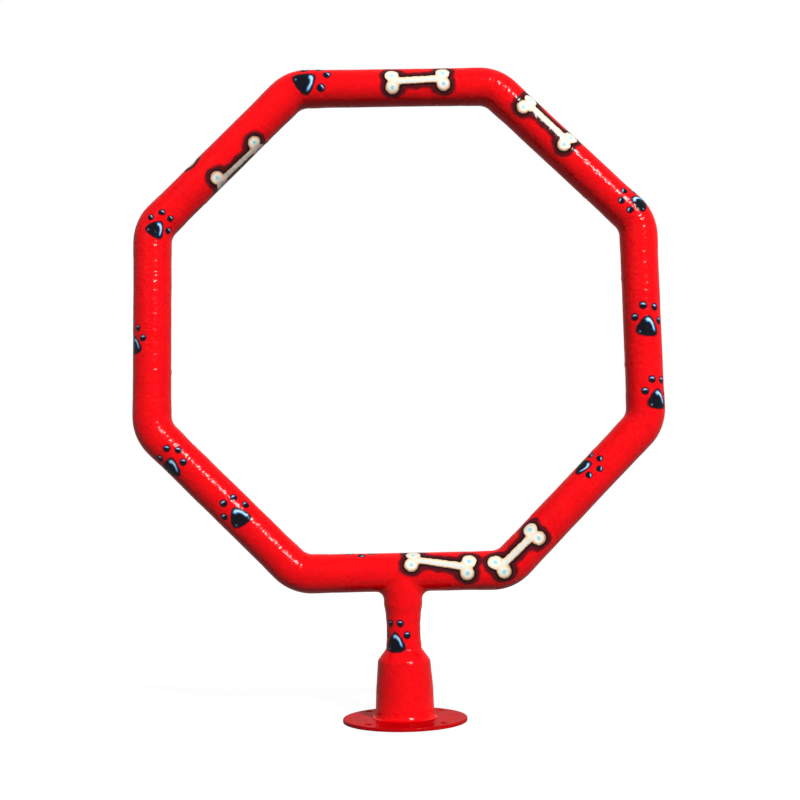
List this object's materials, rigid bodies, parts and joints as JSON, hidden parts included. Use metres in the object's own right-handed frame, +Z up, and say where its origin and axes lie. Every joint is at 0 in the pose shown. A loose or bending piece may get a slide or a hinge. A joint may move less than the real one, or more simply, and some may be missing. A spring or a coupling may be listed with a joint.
{
  "type": "dog sprinkler hoop",
  "caption": "Upright octagonal hoop of welded pipe on a bell-shaped foot and round flange, with water jets in its inward faces for a dog to jump through.",
  "frame": {"origin": "on the ground, under the middle of the round flange", "axes": "+Z up; the hoop stands in the XZ plane and a dog jumps through it along Y; +X is to the right as seen from the front"},
  "size_m": [0.8482, 0.1924, 1.0438],
  "materials": {
    "red_paint": "thick brushed gloss enamel with painted bones and paw prints",
    "coupling_steel": "galvanised, satin",
    "jet_brass": "turned, satin"
  },
  "bodies": {
    "root": {"base_flange": "red_paint", "base_bell": "red_paint", "stem_pipe": "red_paint", "hoop_tee": "red_paint", "hoop_stub_left": "red_paint", "hoop_stub_right": "red_paint", "hoop_elbow_bottom_left": "red_paint", "hoop_elbow_left_lower": "red_paint", "hoop_elbow_left_upper": "red_paint", "hoop_elbow_top_left": "red_paint", "hoop_elbow_top_right": "red_paint", "hoop_elbow_right_upper": "red_paint", "hoop_elbow_right_lower": "red_paint", "hoop_elbow_bottom_right": "red_paint", "hoop_tube_lower_left": "red_paint", "hoop_tube_left": "red_paint", "hoop_tube_upper_left": "red_paint", "hoop_tube_top": "red_paint", "hoop_tube_upper_right": "red_paint", "hoop_tube_right": "red_paint", "hoop_tube_lower_right": "red_paint", "inlet_coupling": "coupling_steel", "spray_jet_lower_left_1": "jet_brass", "spray_jet_lower_left_2": "jet_brass", "spray_jet_left_1": "jet_brass", "spray_jet_left_2": "jet_brass", "spray_jet_upper_left_1": "jet_brass", "spray_jet_upper_left_2": "jet_brass", "spray_jet_top_1": "jet_brass", "spray_jet_top_2": "jet_brass", "spray_jet_upper_right_1": "jet_brass", "spray_jet_upper_right_2": "jet_brass", "spray_jet_right_1": "jet_brass", "spray_jet_right_2": "jet_brass", "spray_jet_lower_right_1": "jet_brass", "spray_jet_lower_right_2": "jet_brass"}
  },
  "joints": []
}
